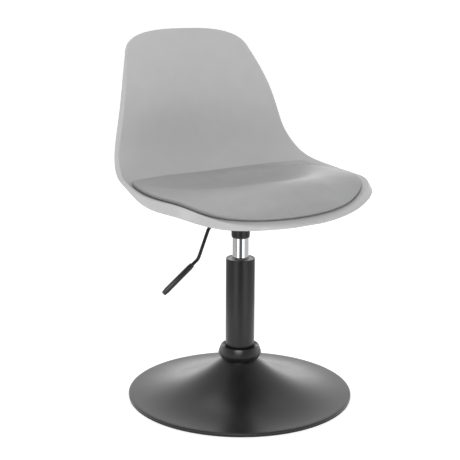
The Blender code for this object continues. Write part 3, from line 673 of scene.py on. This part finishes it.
def build_shell():
    outline = closed_outline(shell_half_width, 0.0, LENGTH, SHELL_OUTLINE_STEPS)
    grid = RingGrid(outline, SHELL_RINGS, *SHELL_COUNTS)
    inner = seat_surface(*grid.points.T)
    edge_depth = spline(EDGE_DEPTH, outline[:, 0] / LENGTH)

    def rim(inset, depth):
        """A ring at a distance inside the outline and a depth below the inner surface."""
        spots = grid.at(np.full(grid.count, float(inset)))
        drop = np.broadcast_to(depth, grid.count)[:, None]
        return seat_surface(*spots.T) - seat_normal(*spots.T) * drop

    rings = []
    # The edge's upper corner, its outer side, its lower corner and the lower corner inside it
    for turn in np.radians((22.5, 45.0, 67.5, 90.0)):
        rings.append(rim(EDGE_ROUND * (1 - math.sin(turn)), EDGE_ROUND * (1 - math.cos(turn))))
    for share in (0.3, 0.6, 0.85):
        rings.append(rim(0, EDGE_ROUND + (edge_depth - 2 * EDGE_ROUND) * share))
    for turn in np.radians((0.0, 30.0, 60.0, 90.0)):
        depth = edge_depth - EDGE_ROUND * (1 - math.sin(turn))
        rings.append(rim(EDGE_ROUND * (1 - math.cos(turn)), depth))
    for turn in np.radians((0.0, 45.0, 90.0)):
        depth = edge_depth - EDGE_ROUND * (1 - math.cos(turn))
        rings.append(rim(EDGE_WALL - EDGE_ROUND * (1 - math.sin(turn)), depth))
    # The fillet where the edge meets the underside, which fades out where the edge is shallow
    fullness = np.clip((edge_depth - SHELL_WALL) / FILLET_FADE, 0, 1)
    for turn in np.radians((0.0, 45.0)):
        depth = SHELL_WALL + EDGE_FILLET * (1 - math.sin(turn)) * fullness
        rings.append(rim(EDGE_WALL + EDGE_FILLET * (1 - math.cos(turn)), depth))
    under = RingGrid(outline, SHELL_UNDER_RINGS, *SHELL_COUNTS)
    below = seat_surface(*under.points.T) - seat_normal(*under.points.T) * SHELL_WALL
    mesh = closed_skin("moulded_shell", inner, below, grid.faces, rings, grid.count)
    place("moulded_shell", mesh, "shell_plastic", "seat", "seat_shell")


def swell(piece, held):
    """Puffs a closed piece up as foam under a cover. Held is how firmly each point stays, up to 1."""
    start = np.array([vertex.co[:] for vertex in piece.data.vertices])
    group = piece.vertex_groups.new(name="held")
    for index, weight in enumerate(held):
        if weight > 0:
            group.add([index], float(weight), "REPLACE")
    cloth = piece.modifiers.new("foam", "CLOTH")
    cloth.settings.vertex_group_mass = group.name
    cloth.settings.use_pressure = True
    cloth.settings.uniform_pressure_force = 4.0
    cloth.settings.effector_weights.gravity = 0.0
    cloth.settings.quality = 5
    cloth.settings.bending_stiffness = 12.0
    cloth.collision_settings.use_collision = False
    cloth.point_cache.frame_start, cloth.point_cache.frame_end = 1, SWELL_FRAMES
    for frame_number in range(1, SWELL_FRAMES + 1):
        bpy.context.scene.frame_set(frame_number)
    puffed = piece.evaluated_get(bpy.context.evaluated_depsgraph_get()).to_mesh()
    move = np.array([vertex.co[:] for vertex in puffed.vertices]) - start
    piece.modifiers.remove(cloth)
    piece.vertex_groups.remove(group)
    distance = np.linalg.norm(move, axis=1, keepdims=True) + 1e-9
    move *= SWELL * MM * np.tanh(distance / (SWELL * MM)) / distance
    piece.data.vertices.foreach_set("co", (start + move * (1 - held)[:, None]).ravel())
    piece.data.update()
    bpy.context.scene.frame_set(1)


def build_cushion():
    start, end = CUSHION_FRONT_MARGIN, CUSHION_END * LENGTH
    outline = closed_outline(cushion_half_width, start, end, CUSHION_OUTLINE_STEPS)
    grid = RingGrid(outline, CUSHION_RINGS, CUSHION_ACROSS, blend_count=9)
    base, normal = seat_surface(*grid.points.T), seat_normal(*grid.points.T)
    roll = rounded_end(np.minimum(grid.depth, CUSHION_ROLL), CUSHION_ROLL, CUSHION_ROLL_POWER)
    top = base + normal * (CUSHION_EDGE + (CUSHION_HEIGHT - CUSHION_EDGE) * roll)[:, None]
    under = RingGrid(outline, CUSHION_UNDER_RINGS, CUSHION_ACROSS, blend_count=10)
    bottom = seat_surface(*under.points.T) + seat_normal(*under.points.T) * CUSHION_BED
    tuck = []
    for turn in np.radians((25.0, 50.0, 75.0)):
        spots = grid.at(np.full(grid.count, CUSHION_TUCK * (1 - math.cos(turn)))).T
        height = CUSHION_BED + (CUSHION_EDGE - CUSHION_BED) * (1 - math.sin(turn))
        tuck.append(seat_surface(*spots) + seat_normal(*spots) * height)
    mesh = closed_skin("padded_seat", top, bottom, grid.faces, tuck, grid.count)
    pad = place("padded_seat", mesh, "leather", "seat", "seat_cushion")
    free = np.zeros(len(mesh.vertices))
    free[:len(top)] = np.clip((grid.depth - HELD_EDGE) / HELD_FADE, 0, 1)
    swell(pad, 1 - free)
    smooth = pad.modifiers.new("smooth", "SUBSURF")
    smooth.levels = smooth.render_levels = 1


def finish_cad_nodes():
    """Gives each CAD node that still shows the look of its slot, and rounded edges."""
    for row in frame["record"]["subparts"]:
        node = frame["nodes"][row["node"]]
        if node.hide_render:
            continue
        node.data.materials.clear()
        node.data.materials.append(LOOKS[row["material_slot"]])
        weld = node.modifiers.new("join_points", "WELD")
        weld.merge_threshold = 0.01 * MM
        soften(node, 0.3, segments=2, angle=40.0)


# ---------------------------------------------------------------- studio


def add_area(name, location, target, width, height, power):
    light = bpy.data.lights.new(name, "AREA")
    light.shape = "RECTANGLE"
    light.size, light.size_y, light.energy = width, height, power
    lamp = bpy.data.objects.new(name, light)
    bpy.context.scene.collection.objects.link(lamp)
    lamp.location = location
    lamp.rotation_euler = (Vector(target) - Vector(location)).to_track_quat("-Z", "Y").to_euler()


def add_flat(name, corners, faces, tone, glow=0.0):
    """A flat studio surface of a given paleness. Glow is light of its own."""
    mesh = bpy.data.meshes.new(name)
    mesh.from_pydata(corners, [], faces)
    flat = bpy.data.objects.new(name, mesh)
    bpy.context.scene.collection.objects.link(flat)
    look, _, _, _ = surface(name, dark=(tone - 0.01,) * 3, light=(tone,) * 3, roughness=(0.6, 0.7),
                            mottle=3.0, Emission_Color=(1.0, 1.0, 1.0, 1.0), Emission_Strength=glow)
    mesh.materials.append(look)
    return flat


def add_reflected_card(name, first_angle, last_angle, tone):
    """A wedge of card on the floor round the camera's side, which shows in reflections only."""
    count = CARD_STEPS + 1
    angles = np.radians(np.linspace(first_angle, last_angle, count) + CAMERA_AZIMUTH)
    corners = [(reach * math.cos(angle), reach * math.sin(angle), CARD_HEIGHT)
               for reach in (CARD_NEAR, CARD_FAR) for angle in angles]
    faces = [(i, i + 1, i + 1 + count, i + count) for i in range(CARD_STEPS)]
    card = add_flat(name, corners, faces, tone)
    card.visible_camera = card.visible_diffuse = card.visible_shadow = False


def build_studio():
    floor = [(x * FLOOR_REACH, y * FLOOR_REACH, 0) for x, y in ((-1, -1), (1, -1), (1, 1), (-1, 1))]
    add_flat("studio_floor", floor, [(0, 1, 2, 3)], tone=0.9, glow=0.42)
    add_reflected_card("card_dark", first_angle=-18.0, last_angle=22.0, tone=0.05)
    add_reflected_card("card_left", first_angle=-150.0, last_angle=-48.0, tone=0.48)
    add_reflected_card("card_right", first_angle=57.0, last_angle=150.0, tone=0.6)

    world = bpy.data.worlds.new("studio")
    bpy.context.scene.world = world
    world.use_nodes = True
    tree = world.node_tree
    where = add_node(tree, "TexCoord").outputs["Generated"]
    facing = add_node(tree, "VectorMath", {"operation": "DOT_PRODUCT"})
    tree.links.new(where, facing.inputs[0])
    facing.inputs[1].default_value = BACKDROP_SIDE
    bright = add_node(tree, "MapRange", Value=facing.outputs["Value"], From_Min=-1.0, From_Max=1.0,
                      To_Min=WORLD_FRONT, To_Max=WORLD_BACK)
    height = add_node(tree, "SeparateXYZ", Vector=where).outputs["Z"]
    fading = add_node(tree, "MapRange", Value=height, From_Min=WORLD_FADE[0], From_Max=WORLD_FADE[1],
                      To_Min=1.0, To_Max=WORLD_TOP)
    strength = add_node(tree, "Math", {"operation": "MULTIPLY"})
    tree.links.new(bright.outputs["Result"], strength.inputs[0])
    tree.links.new(fading.outputs["Result"], strength.inputs[1])
    tree.links.new(strength.outputs["Value"], tree.nodes["Background"].inputs["Strength"])
    tree.nodes["Background"].inputs["Color"].default_value = (1.0, 1.0, 1.0, 1.0)
    add_area("overhead", (0.5, 0.6, 2.4), target=(0, 0, 0.4), width=1.6, height=1.6, power=11)
    add_area("front", (-1.5, -1.5, 1.9), target=(0, 0, 0.45), width=1.5, height=1.2, power=39)
    bpy.context.scene.view_settings.view_transform = "Standard"


def add_camera():
    camera = bpy.data.cameras.new("camera")
    camera.lens, camera.sensor_width = CAMERA_LENS, CAMERA_SENSOR
    eye = bpy.data.objects.new("camera", camera)
    bpy.context.scene.collection.objects.link(eye)
    eye.location = CAMERA_PLACE
    aim = Vector(CAMERA_AIM).to_track_quat("-Z", "Y")
    roll = Quaternion((0, 0, 1), math.radians(CAMERA_ROLL))
    eye.rotation_euler = (aim @ roll).to_euler()
    bpy.context.scene.camera = eye


build_trumpet()
build_floor_ring()
build_column()
build_trim_ring()
build_lift()
build_lever()
build_shell()
build_cushion()
finish_cad_nodes()
build_studio()
add_camera()
